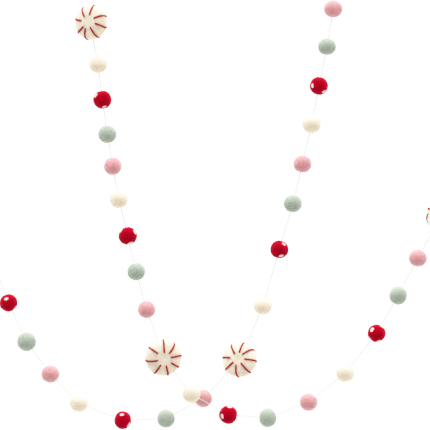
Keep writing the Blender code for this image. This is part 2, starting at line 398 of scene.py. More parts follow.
KNOTS = {
    ("front", "start"): KnotPlace(-164.5, 20.5, 0.0, -0.10, 0.995, -1),
    ("front", "end"): KnotPlace(309.0, 266.5, 0.0, 0.40, 0.917, 1),
    ("back", "start"): KnotPlace(-281.0, 377.5, 0.0, -0.354, 0.935, -1),
    ("back", "end"): KnotPlace(160.5, 20.5, 0.0, 0.15, 0.989, 1),
}


# Placing beads and string


def place(row):
    """A table row's middle in metres."""
    return Vector((row.right * MM, -row.forward * MM, -row.below * MM))


def way_of(row):
    return Vector((row.right, -row.forward, row.up)).normalized()


def felt_of(swag, number):
    """The felt of a bead, counted from 1 along its swag."""
    return FELT_ORDER[(FIRST_FELT[swag] + number - 1) % len(FELT_ORDER)]


def is_sweet(swag, number):
    return felt_of(swag, number) == "peppermint"


def node_name(swag, number):
    kind = "peppermint" if is_sweet(swag, number) else f"{felt_of(swag, number)}_ball"
    return f"{swag}_{number:02d}_{kind}"


def half_sizes(row):
    return Vector((row.wide, (row.wide + row.tall) / 2, row.tall)) * MM / 2


def stretched(v, sizes):
    return Vector((v.x * sizes.x, v.y * sizes.y, v.z * sizes.z))


def side_axes(axis):
    """Two unit vectors square to an axis, the first in the plane of the swags."""
    across = axis.cross(Vector((0, 1, 0))).normalized()
    return across, axis.cross(across).normalized()


def face_axes(face):
    """The ways right and up on a sweet's face."""
    right = Vector((0, 0, 1)).cross(face).normalized()
    return right, face.cross(right)


def sweet_skin(row, face, v):
    """A sweet's smooth skin in one direction from its middle, as in the part's source."""
    along = v.dot(face)
    flat = v - face * along
    power = (flat.length**SWEET_ROUNDNESS + abs(along) ** SWEET_ROUNDNESS) ** (-1 / SWEET_ROUNDNESS)
    out = stretched(flat, half_sizes(row)) * power
    thick = abs(along) * power * SWEET_THICK / 2
    thick -= min(thick, SWEET_DIMPLE_DEPTH * math.exp(-((out.length / SWEET_DIMPLE_RADIUS) ** 2)))
    return out + face * math.copysign(thick, along)


def knot_frame(row):
    """A knot's middle, the way its loop pulls, and two ways square to that."""
    pull = Vector((row.pull_right, 0, row.pull_up)).normalized()
    return place(row), pull, *side_axes(pull)


def loop_route(row):
    """A swag's end: up through its knot, round the hanging loop, down through the knot and to the tail."""
    middle, pull, across, back = knot_frame(row)
    side = across if (across.x > 0) == (row.tail_side > 0) else -across
    clear = KNOT_HALF_HEIGHT + KNOT_STRAND_LEAD
    points = [middle - side * STRAND_OFFSET - pull * clear]
    for n in range(LOOP_STEPS + 1):
        turn = math.pi * n / LOOP_STEPS
        sideways = -STRAND_OFFSET * math.cos(turn) - LOOP_SWELL * math.sin(2 * turn)
        points.append(middle + side * sideways + pull * (clear + (LOOP_TOP - clear) * math.sin(turn)))
    points.append(middle + side * STRAND_OFFSET - pull * TAIL_START_DOWN)
    for out, down in (TAIL_BEND, TAIL_TIP):
        points.append(middle + side * out - pull * down)
    return points


def in_plane(way, face):
    return (way - face * way.dot(face)).normalized()


def mouth_distance(row, face, way):
    """How far from a sweet's middle its hole opens."""
    return sweet_skin(row, face, way).dot(way) * MOUTH_DIMPLE


def turning_points(swag, rows):
    """Where the string turns in each bead: at a ball's middle, and before, at and after a sweet's."""
    ends = [loop_route(KNOTS[swag, end])[0] for end in ("start", "end")]
    middles = [ends[0], *[place(row) for row in rows], ends[1]]
    turns = []
    for number, row in enumerate(rows, 1):
        here = middles[number]
        if not is_sweet(swag, number):
            turns.append([here])
            continue
        face = way_of(SWEET_FACES[swag, number])
        arrive = in_plane(here - middles[number - 1], face)
        leave = in_plane(middles[number + 1] - here, face)
        before = here - arrive * (mouth_distance(row, face, -arrive) + MOUTH_LEAD)
        after = here + leave * (mouth_distance(row, face, leave) + MOUTH_LEAD)
        turns.append([before, here, after])
    return turns


def string_route(swag, rows):
    """Every point of a swag's string, from the tail of one end knot to the tail of the other."""
    points = list(reversed(loop_route(KNOTS[swag, "start"])))
    for turns in turning_points(swag, rows):
        points.extend(turns)
    return points + loop_route(KNOTS[swag, "end"])


def rounded(points, reach):
    """The same route with each corner eased into a short curve."""
    smooth = [points[0]]
    for before, corner, after in zip(points, points[1:], points[2:]):
        arrive = corner - before
        leave = after - corner
        start = corner - arrive.normalized() * min(reach, arrive.length * 0.45)
        end = corner + leave.normalized() * min(reach, leave.length * 0.45)
        for step in range(CORNER_STEPS + 1):
            t = step / CORNER_STEPS
            smooth.append(start * (1 - t) ** 2 + corner * (2 * t * (1 - t)) + end * t**2)
    return smooth + [points[-1]]


# Building node trees


def feed(tree, socket, value):
    if isinstance(value, bpy.types.NodeSocket):
        tree.links.new(value, socket)
    else:
        socket.default_value = value


def node(tree, kind, sockets=None, **settings):
    """Adds a node, sets its properties, and fills its sockets with values or links."""
    made = tree.nodes.new(kind)
    for key, value in settings.items():
        setattr(made, key, value)
    for key, value in (sockets or {}).items():
        feed(tree, made.inputs[key], value)
    return made


def calc(tree, operation, *values):
    sockets = dict(enumerate(values))
    return node(tree, "ShaderNodeMath", sockets, operation=operation).outputs[0]


def times(tree, first, second):
    return calc(tree, "MULTIPLY", first, second)


def plus(tree, first, second):
    return calc(tree, "ADD", first, second)


def minus(tree, first, second):
    return calc(tree, "SUBTRACT", first, second)


def vec(tree, operation, *values):
    sockets = dict(enumerate(values))
    if operation == "SCALE":
        sockets = {0: values[0], 3: values[1]}
    made = node(tree, "ShaderNodeVectorMath", sockets, operation=operation)
    return made.outputs["Value" if operation in ("LENGTH", "DISTANCE", "DOT_PRODUCT") else "Vector"]


def bell(tree, distance, across):
    """1 in the middle, falling smoothly to nothing past the given distance."""
    ratio = calc(tree, "DIVIDE", distance, across)
    return calc(tree, "EXPONENT", times(tree, times(tree, ratio, ratio), -1.0))


def noise(tree, where, scale, detail=0.0, roughness=0.5, grain=None, distortion=0.0):
    sockets = {"Vector": where, "Scale": scale, "Detail": detail}
    sockets |= {"Roughness": roughness, "Distortion": distortion}
    if grain is not None:
        sockets["W"] = grain
    made = node(tree, "ShaderNodeTexNoise", noise_dimensions="3D" if grain is None else "4D")
    for key, value in sockets.items():
        feed(tree, made.inputs[key], value)
    return made.outputs["Fac"]


def around_zero(tree, value):
    return calc(tree, "MULTIPLY_ADD", value, 2.0, -1.0)


GROUP_SOCKETS = {
    "geometry": "NodeSocketGeometry",
    "number": "NodeSocketFloat",
    "count": "NodeSocketInt",
    "vector": "NodeSocketVector",
    "object": "NodeSocketObject",
    "material": "NodeSocketMaterial",
}


def new_tree(name, **inputs):
    """An empty Geometry Nodes tree with named inputs; gives the tree, its inputs by name, and its output."""
    tree = bpy.data.node_groups.new(name, "GeometryNodeTree")
    for label, kind in inputs.items():
        tree.interface.new_socket(label, in_out="INPUT", socket_type=GROUP_SOCKETS[kind])
    tree.interface.new_socket("geometry", in_out="OUTPUT", socket_type="NodeSocketGeometry")
    entry = tree.nodes.new("NodeGroupInput")
    leave = tree.nodes.new("NodeGroupOutput")
    return tree, {label: entry.outputs[label] for label in inputs}, leave.inputs["geometry"]


def finish_tree(tree, geometry, material, leave):
    """Smooth shading, then whole meshes in one material."""
    smooth = node(tree, "GeometryNodeSetShadeSmooth", {"Geometry": geometry})
    whole = node(tree, "GeometryNodeRealizeInstances", {"Geometry": smooth.outputs[0]})
    dressed = node(tree, "GeometryNodeSetMaterial", {"Geometry": whole.outputs[0], "Material": material})
    tree.links.new(dressed.outputs[0], leave)


def fibre_tree():
    """Loose fibres that curl off a surface: short bent hairs on random points, most of them nearly flat."""
    tree, get, leave = new_tree(
        "loose fibres",
        surface="geometry",
        fibres="number",
        fibre_length="number",
        fibre_across="number",
        seed="count",
    )
    curl = node(
        tree,
        "GeometryNodeCurveQuadraticBezier",
        {"Resolution": 4, "Start": FIBRE_START, "Middle": FIBRE_BEND, "End": FIBRE_END},
    )
    hair_radius = calc(tree, "DIVIDE", times(tree, get["fibre_across"], 0.5), get["fibre_length"])
    round_hair = node(tree, "GeometryNodeCurvePrimitiveCircle", {"Resolution": 3, "Radius": hair_radius})
    thinning = minus(tree, 1.15, node(tree, "GeometryNodeSplineParameter").outputs["Factor"])
    hair = node(
        tree,
        "GeometryNodeCurveToMesh",
        {"Curve": curl.outputs[0], "Profile Curve": round_hair.outputs[0], "Scale": thinning},
    )
    roots = node(
        tree,
        "GeometryNodeDistributePointsOnFaces",
        {"Mesh": get["surface"], "Density": get["fibres"], "Seed": get["seed"]},
    )

    def dice(low, high, shift):
        seed = plus(tree, get["seed"], float(shift))
        return node(tree, "FunctionNodeRandomValue", {2: low, 3: high, "Seed": seed}).outputs[1]

    lift = times(tree, calc(tree, "POWER", dice(0.0, 1.0, 11), FIBRE_LYING), FIBRE_LIFT)
    turn = node(tree, "ShaderNodeCombineXYZ", {"Z": dice(0.0, math.tau, 23)}).outputs[0]
    rise = node(tree, "ShaderNodeCombineXYZ", {"X": dice(-FIBRE_TURN, FIBRE_TURN, 31), "Y": lift}).outputs[0]
    rotation = roots.outputs["Rotation"]
    for bend in (turn, rise):
        by = node(tree, "FunctionNodeEulerToRotation", {"Euler": bend}).outputs[0]
        sockets = {"Rotation": rotation, "Rotate By": by}
        rotation = node(tree, "FunctionNodeRotateRotation", sockets, rotation_space="LOCAL").outputs[0]
    size = times(tree, dice(0.35, 1.0, 41), get["fibre_length"])
    hairs = node(
        tree,
        "GeometryNodeInstanceOnPoints",
        {"Points": roots.outputs["Points"], "Instance": hair.outputs[0], "Rotation": rotation, "Scale": size},
    )
    whole = node(tree, "GeometryNodeRealizeInstances", {"Geometry": hairs.outputs[0]})
    tree.links.new(whole.outputs[0], leave)
    return tree


def with_fibres(tree, surface, fibres, count, length, across, seed):
    """The surface together with its loose fibres."""
    hairs = node(tree, "GeometryNodeGroup", node_tree=fibres)
    values = {"surface": surface, "fibres": count, "fibre_length": length, "fibre_across": across}
    values["seed"] = seed
    for key, value in values.items():
        feed(tree, hairs.inputs[key], value)
    both = node(tree, "GeometryNodeJoinGeometry")
    tree.links.new(hairs.outputs[0], both.inputs[0])
    tree.links.new(surface, both.inputs[0])
    return both.outputs[0]


def moved(tree, geometry, position):
    sockets = {"Geometry": geometry, "Position": position}
    return node(tree, "GeometryNodeSetPosition", sockets).outputs[0]


def with_mark(tree, geometry, name, value, **settings):
    """The geometry with a named value kept at each of its points, for later nodes and for the material."""
    sockets = {"Geometry": geometry, "Name": name, "Value": value}
    return node(tree, "GeometryNodeStoreNamedAttribute", sockets, **settings).outputs[0]


def sphere_of_ways(tree, grid):
    """A cube's even grid with, at each of its points, the way that the point takes out from the middle."""
    sizes = {"Size": (2, 2, 2), "Vertices X": grid, "Vertices Y": grid, "Vertices Z": grid}
    cube = node(tree, "GeometryNodeMeshCube", sizes)
    here = node(tree, "GeometryNodeInputPosition").outputs[0]
    spread = vec(tree, "TANGENT", vec(tree, "SCALE", here, math.pi / 4))
    ball = moved(tree, cube.outputs["Mesh"], vec(tree, "NORMALIZE", spread))
    outward = node(tree, "GeometryNodeInputPosition").outputs[0]
    kept = with_mark(tree, ball, "way", outward, data_type="FLOAT_VECTOR")
    way = node(tree, "GeometryNodeInputNamedAttribute", {"Name": "way"}, data_type="FLOAT_VECTOR").outputs[0]
    return kept, way


def felt_ball_tree(fibres):
    """A wet-felted ball: lumpy and rippled, puckered where the string goes in, flattened at each dot."""
    tree, get, leave = new_tree(
        "felt ball",
        middle="vector",
        half_sizes="vector",
        way_in="vector",
        way_out="vector",
        grain="number",
        dots="object",
        seed="count",
        felt="material",
    )
    ball, way = sphere_of_ways(tree, BALL_GRID)
    radius = vec(tree, "LENGTH", vec(tree, "SCALE", get["half_sizes"], 1 / math.sqrt(3)))
    lump = times(tree, around_zero(tree, noise(tree, way, 1.3, grain=get["grain"])), BALL_LUMP)
    rough = around_zero(tree, noise(tree, way, 5.5, 2.0, grain=get["grain"]))
    ripple = times(tree, rough, BALL_RIPPLE)
    out = vec(tree, "MULTIPLY", way, get["half_sizes"])
    swollen = vec(tree, "SCALE", out, plus(tree, 1.0, plus(tree, lump, ripple)))
    sink = None
    for mouth in (get["way_in"], get["way_out"]):
        away = times(tree, vec(tree, "DISTANCE", way, mouth), radius)
        pit = times(tree, bell(tree, away, MOUTH_PIT_ACROSS), MOUTH_PIT)
        sink = pit if sink is None else plus(tree, sink, pit)
    dots = node(tree, "GeometryNodeObjectInfo", {"Object": get["dots"]}).outputs["Geometry"]
    sockets = {"Geometry": dots, "Sample Position": way}
    nearest = node(tree, "GeometryNodeProximity", sockets, target_element="EDGES")
    dot_reach = times(tree, nearest.outputs["Distance"], radius)
    flattening = map_range(tree, dot_reach, *DOT_SLOPE, DOT_SINK, 0.0)
    sink = plus(tree, sink, times(tree, flattening, nearest.outputs["Is Valid"]))
    skin = vec(tree, "ADD", swollen, vec(tree, "SCALE", way, minus(tree, BALL_PLUMP, sink)))
    marked = with_mark(tree, ball, "dot_reach", dot_reach)
    shaped = moved(tree, marked, vec(tree, "ADD", skin, get["middle"]))
    hairy = with_fibres(tree, shaped, fibres, WOOL_FIBRES, WOOL_FIBRE, WOOL_FIBRE_ACROSS, get["seed"])
    finish_tree(tree, hairy, get["felt"], leave)
    return tree


def sweet_tree(fibres):
    """A peppermint sweet: a plump felt disc, gathered in fine creases and pulled in under each stitch."""
    tree, get, leave = new_tree(
        "peppermint sweet",
        middle="vector",
        half_sizes="vector",
        face="vector",
        face_right="vector",
        face_up="vector",
        plump="number",
        tan="number",
        grain="number",
        stitches="object",
        seed="count",
        felt="material",
    )
    ball, way = sphere_of_ways(tree, SWEET_GRID)
    along = vec(tree, "DOT_PRODUCT", way, get["face"])
    flat = vec(tree, "SUBTRACT", way, vec(tree, "SCALE", get["face"], along))
    flat_part = calc(tree, "POWER", vec(tree, "LENGTH", flat), SWEET_ROUNDNESS)
    deep_part = calc(tree, "POWER", calc(tree, "ABSOLUTE", along), SWEET_ROUNDNESS)
    power = calc(tree, "POWER", plus(tree, flat_part, deep_part), -1 / SWEET_ROUNDNESS)
    out = vec(tree, "SCALE", vec(tree, "MULTIPLY", flat, get["half_sizes"]), power)
    reach = vec(tree, "LENGTH", out)
    dimple = times(tree, bell(tree, reach, SWEET_DIMPLE_RADIUS), SWEET_DIMPLE_DEPTH)
    share = times(tree, calc(tree, "ABSOLUTE", along), power)
    full = times(tree, share, SWEET_THICK / 2)
    thick = calc(tree, "MAXIMUM", minus(tree, full, dimple), 0.0)
    signed = times(tree, thick, calc(tree, "SIGN", along))
    local = vec(tree, "ADD", out, vec(tree, "SCALE", get["face"], signed))
    smooth = moved(tree, ball, vec(tree, "ADD", local, get["middle"]))

    here = node(tree, "GeometryNodeInputPosition").outputs[0]
    normal = node(tree, "GeometryNodeInputNormal").outputs[0]
    from_middle = vec(tree, "SUBTRACT", here, get["middle"])
    right = vec(tree, "DOT_PRODUCT", from_middle, get["face_right"])
    up = vec(tree, "DOT_PRODUCT", from_middle, get["face_up"])
    deep = vec(tree, "DOT_PRODUCT", from_middle, get["face"])
    squares = [times(tree, side, side) for side in (right, up)]
    spoke = calc(tree, "SQRT", plus(tree, *squares))
    safe = calc(tree, "MAXIMUM", spoke, 0.2 * MM)
    fan = node(
        tree,
        "ShaderNodeCombineXYZ",
        {
            "X": times(tree, calc(tree, "DIVIDE", right, safe), CREASE_COUNT),
            "Y": times(tree, calc(tree, "DIVIDE", up, safe), CREASE_COUNT),
            "Z": times(tree, plus(tree, spoke, times(tree, deep, 1.5)), CREASE_ALONG),
        },
    ).outputs[0]
    folds = noise(tree, fan, 1.0, 1.5, 0.6, grain=get["grain"])
    valley = minus(tree, 1.0, calc(tree, "ABSOLUTE", around_zero(tree, folds)))
    sharp = calc(tree, "POWER", valley, CREASE_SHARPNESS)
    crease = times(tree, sharp, map_range(tree, spoke, *CREASE_START))
    paths = node(tree, "GeometryNodeObjectInfo", {"Object": get["stitches"]}).outputs["Geometry"]
    sockets = {"Geometry": paths, "Sample Position": here}
    nearest = node(tree, "GeometryNodeProximity", sockets, target_element="EDGES").outputs["Distance"]
    groove = times(tree, bell(tree, nearest, STITCH_GROOVE_ACROSS), STITCH_GROOVE)
    uneven = around_zero(tree, noise(tree, way, 2.2, 1.0, grain=get["grain"]))
    swell = calc(tree, "MULTIPLY_ADD", uneven, SWEET_LUMP, get["plump"])
    sink = plus(tree, groove, times(tree, crease, CREASE_DEPTH))
    sink = minus(tree, sink, swell)
    # The creases are marked for the material, which paints shade in them
    marked = with_mark(tree, smooth, "fold", crease)
    # The middle's tan, with painted shade in its dimple
    tan = times(tree, bell(tree, spoke, TAN_AND_SHADE_MIDDLE), get["tan"])
    marked = with_mark(tree, marked, "near_middle", tan)
    offset = vec(tree, "SCALE", normal, times(tree, sink, -1.0))
    shaped = node(tree, "GeometryNodeSetPosition", {"Geometry": marked, "Offset": offset}).outputs[0]
    count = WOOL_FIBRES * SWEET_FIBRE_SHARE
    hairy = with_fibres(tree, shaped, fibres, count, WOOL_FIBRE, WOOL_FIBRE_ACROSS, get["seed"])
    finish_tree(tree, hairy, get["felt"], leave)
    return tree


def strand_tree(fibres):
    """A plied strand along a route: a lobed outline, one lobe for each ply, that turns as it goes."""
    tree, get, leave = new_tree(
        "plied strand",
        route="geometry",
        across="number",
        plies="number",
        twist_length="number",
        step="number",
        outline="count",
        fibres="number",
        fibre_length="number",
        fibre_across="number",
        seed="count",
        fibre_kind="material",
    )
    line = node(tree, "GeometryNodeMeshToCurve", {"Mesh": get["route"]})
    sockets = {"Curve": line.outputs[0], "Length": get["step"]}
    even = node(tree, "GeometryNodeResampleCurve", sockets, mode="LENGTH")
    gone = node(tree, "GeometryNodeSplineParameter").outputs["Length"]
    turns = times(tree, calc(tree, "DIVIDE", gone, get["twist_length"]), math.tau)
    twisted = node(tree, "GeometryNodeSetCurveTilt", {"Curve": even.outputs[0], "Tilt": turns})
    measured = with_mark(tree, twisted.outputs[0], "gone", gone)
    ring = node(tree, "GeometryNodeCurvePrimitiveCircle", {"Resolution": get["outline"], "Radius": 1.0})
    share = node(tree, "GeometryNodeSplineParameter").outputs["Factor"]
    angle = times(tree, share, math.pi)
    crest = calc(tree, "ABSOLUTE", calc(tree, "COSINE", times(tree, angle, get["plies"])))
    lobe = calc(tree, "MULTIPLY_ADD", crest, PLY_CREST, PLY_VALLEY)
    radius = times(tree, lobe, times(tree, get["across"], 0.5))
    here = node(tree, "GeometryNodeInputPosition").outputs[0]
    outline = moved(tree, ring.outputs[0], vec(tree, "SCALE", here, radius))
    lobed = with_mark(tree, outline, "crest", crest)
    turn = times(tree, angle, 2.0)
    sides = {"X": calc(tree, "COSINE", turn), "Y": calc(tree, "SINE", turn)}
    round_way = node(tree, "ShaderNodeCombineXYZ", sides).outputs[0]
    profile = with_mark(tree, lobed, "round_way", round_way, data_type="FLOAT_VECTOR")
    sockets = {"Curve": measured, "Profile Curve": profile, "Fill Caps": True}
    strand = node(tree, "GeometryNodeCurveToMesh", sockets)
    hairy = with_fibres(
        tree, strand.outputs[0], fibres, get["fibres"], get["fibre_length"], get["fibre_across"], get["seed"]
    )
    finish_tree(tree, hairy, get["fibre_kind"], leave)
    return tree


# Materials


def new_material(name):
    material = bpy.data.materials.new(name)
    material.use_nodes = True
    tree = material.node_tree
    return material, tree, tree.nodes["Principled BSDF"]


def map_range(tree, value, low, high, to_low=0.0, to_high=1.0, smooth=True):
    sockets = {"Value": value, "From Min": low, "From Max": high, "To Min": to_low, "To Max": to_high}
    kind = "SMOOTHSTEP" if smooth else "LINEAR"
    return node(tree, "ShaderNodeMapRange", sockets, interpolation_type=kind).outputs[0]


def mix_colour(tree, share, first, second):
    made = node(tree, "ShaderNodeMix", data_type="RGBA")
    feed(tree, made.inputs[0], share)
    feed(tree, made.inputs[6], first)
    feed(tree, made.inputs[7], second)
    return made.outputs[2]


def named(tree, name, output):
    return node(tree, "ShaderNodeAttribute", attribute_name=name).outputs[output]


def strayed(tree, where, scale, detail, reach):
    """Points pushed off their place by smooth noise."""
    sockets = {"Vector": where, "Scale": scale, "Detail": detail}
    drift = node(tree, "ShaderNodeTexNoise", sockets).outputs["Color"]
    off = vec(tree, "SCALE", vec(tree, "SUBTRACT", drift, (0.5, 0.5, 0.5)), reach)
    return vec(tree, "ADD", where, off)


def wool(tree, where):
    """Matted wool: curling hairs over soft patches and long laid wisps. Gives a shade and a height."""
    curled = strayed(tree, where, HAIR_DRIFT_SCALE, 1.0, HAIR_DRIFT)
    hairs = None
    for turn in HAIR_TURNS:
        sockets = {"Vector": curled, "Rotation": turn, "Scale": (1.0, HAIR_NARROW, 1.0)}
        laid = node(tree, "ShaderNodeMapping", sockets).outputs[0]
        streak = noise(tree, laid, HAIR_SCALE, 1.0)
        hair = minus(tree, 1.0, calc(tree, "ABSOLUTE", around_zero(tree, streak)))
        hair = calc(tree, "POWER", hair, 4.0)
        hairs = hair if hairs is None else calc(tree, "MAXIMUM", hairs, hair)
    patches = map_range(tree, noise(tree, where, PATCH_SCALE, 2.5, 0.6), 0.3, 0.7)
    wound = strayed(tree, where, WISP_SWIRL_SCALE, 0.0, WISP_SWIRL)
    sockets = {"Vector": wound, "Scale": (WISP_NARROW, WISP_NARROW, 1.0)}
    laid = node(tree, "ShaderNodeMapping", sockets).outputs[0]
    wisps = map_range(tree, noise(tree, laid, WISP_SCALE, 5.0, 0.75, distortion=0.6), 0.32, 0.68)
    shade = times(tree, patches, 0.3)
    shade = plus(tree, shade, times(tree, hairs, 0.35))
    shade = plus(tree, shade, times(tree, wisps, 0.35))
    height = plus(tree, times(tree, hairs, 0.5), times(tree, patches, 0.35))
    return shade, plus(tree, height, times(tree, wisps, 0.12))


def felt(name, light, dark, sheen, bloom, glow=0.0, relief=0.75, dots=None, painted_crease_and_middle_shade=False):
    """Matted wool felt in two shades, with a sheen from its loose fibres; glow scatters light inside it. On
    sweets it has painted shade in its creases and in its dimpled middle.
    """
    material, tree, shader = new_material(name)
    where = node(tree, "ShaderNodeTexCoord").outputs["Object"]
    shade, height = wool(tree, where)
    colour = mix_colour(tree, shade, (*dark, 1), (*light, 1))
    if dots:
        ragged = times(tree, around_zero(tree, noise(tree, where, 900.0, 2.0, 0.6)), DOT_RAGGED)
        reach = plus(tree, named(tree, "dot_reach", "Fac"), ragged)
        cover = map_range(tree, reach, DOT_REACH - DOT_EDGE, DOT_REACH + DOT_EDGE, 1.0, 0.0)
        white = mix_colour(tree, shade, (*dots[1], 1), (*dots[0], 1))
        colour = mix_colour(tree, cover, colour, white)
    # Painted shade in the creases, and the middle's tan with painted shade in its dimple, both towards a
    # darker tan
    if painted_crease_and_middle_shade:
        fold = times(tree, named(tree, "fold", "Fac"), CREASE_PAINTED_SHADE)
        tan_and_painted_shade_share = calc(tree, "MINIMUM", plus(tree, fold, named(tree, "near_middle", "Fac")), 1.0)
        deep = tuple(shade * share for shade, share in zip(dark, TAN_AND_PAINTED_SHADE))
        colour = mix_colour(tree, tan_and_painted_shade_share, colour, (*deep, 1))
    sockets = {"Strength": relief, "Distance": FELT_RELIEF, "Height": height}
    bump = node(tree, "ShaderNodeBump", sockets).outputs[0]
    tree.links.new(colour, shader.inputs["Base Color"])
    tree.links.new(bump, shader.inputs["Normal"])
    shader.inputs["Roughness"].default_value = 0.9
    shader.inputs["Specular IOR Level"].default_value = 0.0
    shader.subsurface_method = "BURLEY"
    shader.inputs["Subsurface Weight"].default_value = glow
    shader.inputs["Subsurface Radius"].default_value = FELT_SCATTER_SHARES
    shader.inputs["Subsurface Scale"].default_value = FELT_SCATTER
    shader.inputs["Sheen Weight"].default_value = bloom
    shader.inputs["Sheen Roughness"].default_value = 0.35
    shader.inputs["Sheen Tint"].default_value = (*sheen, 1)
    return material


def spun(name, light, dark, sheen):
    """Spun and plied fibre, with painted shade in the valleys between plies, and fine hairs along each ply.
    """
    material, tree, shader = new_material(name)
    crest = named(tree, "crest", "Fac")
    gone = times(tree, named(tree, "gone", "Fac"), SPUN_ALONG)
    round_way = vec(tree, "SCALE", named(tree, "round_way", "Vector"), SPUN_AROUND)
    along = node(tree, "ShaderNodeCombineXYZ", {"Z": gone}).outputs[0]
    streaks = noise(tree, vec(tree, "ADD", round_way, along), 2.2, 2.0)
    hairs = map_range(tree, streaks, 0.2, 0.75, 0.55, 1.0)
    # Painted shade: the valleys between plies take the dark shade, while on the crests the hairs mix both
    # shades
    share = times(tree, map_range(tree, crest, 0.0, 0.75), hairs)
    height = plus(tree, streaks, times(tree, crest, 0.5))
    sockets = {"Strength": 0.6, "Distance": SPUN_RELIEF, "Height": height}
    bump = node(tree, "ShaderNodeBump", sockets).outputs[0]
    tree.links.new(mix_colour(tree, share, (*dark, 1), (*light, 1)), shader.inputs["Base Color"])
    tree.links.new(bump, shader.inputs["Normal"])
    shader.inputs["Roughness"].default_value = 0.85
    shader.inputs["Specular IOR Level"].default_value = 0.2
    shader.inputs["Sheen Weight"].default_value = 0.25
    shader.inputs["Sheen Roughness"].default_value = 0.5
    shader.inputs["Sheen Tint"].default_value = (*sheen, 1)
    return material


def floor_finish():
    """Matte floor, grey with a painted pool of light, palest under the garland and just behind it."""
    material, tree, shader = new_material("studio_floor")
    where = node(tree, "ShaderNodeSeparateXYZ", {0: node(tree, "ShaderNodeTexCoord").outputs["Object"]})
    begun = map_range(tree, where.outputs["Y"], *FLOOR_PALE_FROM)
    ended = map_range(tree, where.outputs["Y"], *FLOOR_PALE_TO)
    grey, pale = ((*[tone] * 3, 1) for tone in (FLOOR_GREY, FLOOR_PALE))
    colour = mix_colour(tree, minus(tree, begun, ended), grey, pale)
    tree.links.new(colour, shader.inputs["Base Color"])
    shader.inputs["Roughness"].default_value = 0.9
    shader.inputs["Specular IOR Level"].default_value = 0.0
    return material


# The studio


def camera():
    lens = bpy.data.cameras.new("photo_lens")
    lens.sensor_width = SENSOR_ACROSS
    lens.lens = SENSOR_ACROSS * CAMERA_AWAY / VIEW_ACROSS
    eye = bpy.data.objects.new("photo_camera", lens)
    eye.location = (VIEW_MIDDLE_RIGHT, -CAMERA_AWAY, VIEW_MIDDLE_UP)
    eye.rotation_euler = (math.pi / 2, 0, 0)
    bpy.context.scene.collection.objects.link(eye)
    bpy.context.scene.camera = eye


def tent():
    """Soft white light: dim in front and straight behind, brightest overhead; the backdrop is plain white."""
    world = bpy.data.worlds.new("white_tent")
    bpy.context.scene.world = world
    world.use_nodes = True
    tree = world.node_tree
    light = tree.nodes["Background"]
    out = node(tree, "ShaderNodeTexCoord").outputs["Generated"]
    way = node(tree, "ShaderNodeSeparateXYZ", {0: out})
    walls = map_range(tree, way.outputs["Y"], *TENT_TURN, TENT_FRONT, TENT_BACK)
    walls = minus(tree, walls, map_range(tree, way.outputs["Y"], *BEHIND_TURN, 0.0, TENT_BEHIND))
    lifted = map_range(tree, way.outputs["Z"], *HORIZON_TURN)
    below = calc(tree, "MULTIPLY_ADD", lifted, minus(tree, walls, TENT_BELOW), TENT_BELOW)
    height = vec(tree, "DOT_PRODUCT", out, OVERHEAD_WAY)
    overhead = map_range(tree, height, *OVERHEAD_RISE, 0.0, OVERHEAD_GLOW)
    tree.links.new(plus(tree, below, overhead), light.inputs["Strength"])
    backdrop = node(tree, "ShaderNodeBackground", {"Strength": BACKDROP_WHITE})
    seen = node(tree, "ShaderNodeLightPath").outputs["Is Camera Ray"]
    both = node(tree, "ShaderNodeMixShader", {0: seen, 1: light.outputs[0], 2: backdrop.outputs[0]})
    light.inputs["Color"].default_value = (1, 1, 1, 1)
    backdrop.inputs["Color"].default_value = (1, 1, 1, 1)
    tree.links.new(both.outputs[0], tree.nodes["World Output"].inputs["Surface"])


def floor():
    mesh = bpy.data.meshes.new("studio_floor")
    turns = [2 * math.pi * step / FLOOR_SIDES for step in range(FLOOR_SIDES)]
    rim = [(FLOOR_RADIUS * math.cos(turn), FLOOR_RADIUS * math.sin(turn), FLOOR_LEVEL) for turn in turns]
    mesh.from_pydata(rim, [], [tuple(range(FLOOR_SIDES))])
    mesh.materials.append(floor_finish())
    ground = bpy.data.objects.new("studio_floor", mesh)
    bpy.context.scene.collection.objects.link(ground)


def film():
    """A soft roll-off to white, as on the photograph."""
    view = bpy.context.scene.view_settings
    view.view_transform = "Standard"
    view.look = "None"
    view.use_curve_mapping = True
    mapping = view.curve_mapping
    mapping.white_level = (FILM_WHITE, FILM_WHITE, FILM_WHITE)
    tone = mapping.curves[3]
    for point, (light_in, tone_out) in zip(list(tone.points), (FILM_CURVE[0], FILM_CURVE[-1])):
        point.location = (light_in, tone_out)
    for light_in, tone_out in FILM_CURVE[1:-1]:
        tone.points.new(light_in, tone_out)
    mapping.update()


# Making the pieces


def line_object(name, lines):
    """A bare mesh of one or more open lines, for a tree to follow."""
    points = [point for line in lines for point in line]
    edges = []
    first = 0
    for line in lines:
        edges += [(first + n, first + n + 1) for n in range(len(line) - 1)]
        first += len(line)
    mesh = bpy.data.meshes.new(name)
    mesh.from_pydata([tuple(point) for point in points], edges, [])
    guide = bpy.data.objects.new(name, mesh)
    bpy.context.scene.collection.objects.link(guide)
    return guide


def grown(name, guide, tree, **values):
    """Runs a tree on a guide and keeps the result as a plain mesh at the origin."""
    modifier = guide.modifiers.new(tree.name, "NODES")
    modifier.node_group = tree
    sockets = {item.name: item.identifier for item in tree.interface.items_tree if item.in_out == "INPUT"}
    for label, value in values.items():
        modifier[sockets[label]] = value
    bpy.context.view_layer.update()
    graph = bpy.context.evaluated_depsgraph_get()
    mesh = bpy.data.meshes.new_from_object(guide.evaluated_get(graph))
    guide.modifiers.remove(modifier)
    mesh.name = name
    piece = bpy.data.objects.new(name, mesh)
    bpy.context.scene.collection.objects.link(piece)
    return piece


